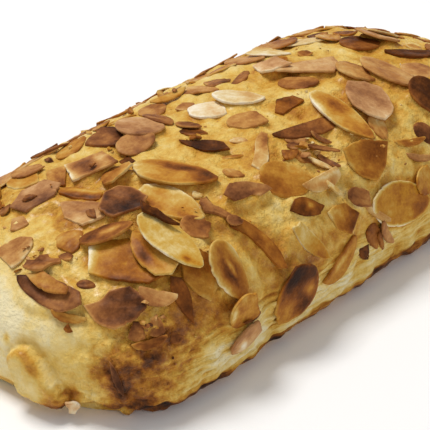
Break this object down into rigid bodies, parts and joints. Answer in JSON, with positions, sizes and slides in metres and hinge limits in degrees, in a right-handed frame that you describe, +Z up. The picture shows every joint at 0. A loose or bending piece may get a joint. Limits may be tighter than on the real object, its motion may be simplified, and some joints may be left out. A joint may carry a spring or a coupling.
{
  "type": "bee sting danish pastry",
  "caption": "Long baked bar of laminated danish dough with a full crown, layered sides and a small folded end flap, topped with toasted almond slices; rests on its flat base.",
  "frame": {"origin": "middle of the bounding box's bottom, on the flat base", "axes": "+X along the bar away from the folded flap, -Y the visible layered side, +Z up"},
  "size_m": [0.1508, 0.069, 0.0345],
  "materials": {
    "dough": "egg-washed baked dough, golden with browner corners and a pale underside of the end",
    "almond_pale": "lightly toasted almond slice with a whitish cut rim",
    "almond_golden": "golden toasted almond slice, faintly glossy",
    "almond_brown": "brown toasted almond slice",
    "almond_dark": "almond slice baked dark, nearly burnt in places"
  },
  "bodies": {
    "root": {"almond_flake_01_brown": "almond_brown", "almond_flake_02_golden": "almond_golden", "almond_flake_03_golden": "almond_golden", "almond_flake_04_brown": "almond_brown", "almond_flake_05_golden": "almond_golden", "almond_flake_06_dark": "almond_dark", "almond_flake_07_pale": "almond_pale", "almond_flake_08_golden": "almond_golden", "almond_flake_09_dark": "almond_dark", "almond_flake_10_pale": "almond_pale", "almond_flake_11_brown": "almond_brown", "almond_flake_12_golden": "almond_golden", "almond_flake_13_golden": "almond_golden", "almond_flake_14_dark": "almond_dark", "almond_flake_15_brown": "almond_brown", "almond_flake_16_brown": "almond_brown", "almond_flake_17_dark": "almond_dark", "almond_flake_18_golden": "almond_golden", "almond_flake_19_golden": "almond_golden", "almond_flake_20_brown": "almond_brown", "almond_flake_21_brown": "almond_brown", "almond_flake_22_brown": "almond_brown", "almond_flake_23_golden": "almond_golden", "almond_flake_24_dark": "almond_dark", "almond_flake_25_golden": "almond_golden", "almond_flake_26_golden": "almond_golden", "almond_flake_27_golden": "almond_golden", "almond_flake_28_brown": "almond_brown", "almond_flake_29_brown": "almond_brown", "almond_flake_30_dark": "almond_dark", "almond_flake_31_pale": "almond_pale", "almond_flake_32_pale": "almond_pale", "almond_flake_33_golden": "almond_golden", "almond_flake_34_brown": "almond_brown", "almond_flake_35_brown": "almond_brown", "almond_flake_36_golden": "almond_golden", "almond_flake_37_brown": "almond_brown", "almond_flake_38_brown": "almond_brown", "almond_flake_39_brown": "almond_brown", "almond_flake_40_golden": "almond_golden", "almond_flake_41_golden": "almond_golden", "almond_flake_42_golden": "almond_golden", "almond_flake_43_dark": "almond_dark", "almond_flake_44_brown": "almond_brown", "almond_flake_45_brown": "almond_brown", "almond_flake_46_golden": "almond_golden", "almond_flake_47_dark": "almond_dark", "almond_flake_48_pale": "almond_pale", "almond_flake_49_brown": "almond_brown", "almond_flake_50_dark": "almond_dark", "almond_flake_51_brown": "almond_brown", "almond_flake_52_golden": "almond_golden", "almond_flake_53_brown": "almond_brown", "almond_flake_54_golden": "almond_golden", "almond_flake_55_dark": "almond_dark", "almond_flake_56_pale": "almond_pale", "dough_body": "dough"}
  },
  "joints": []
}
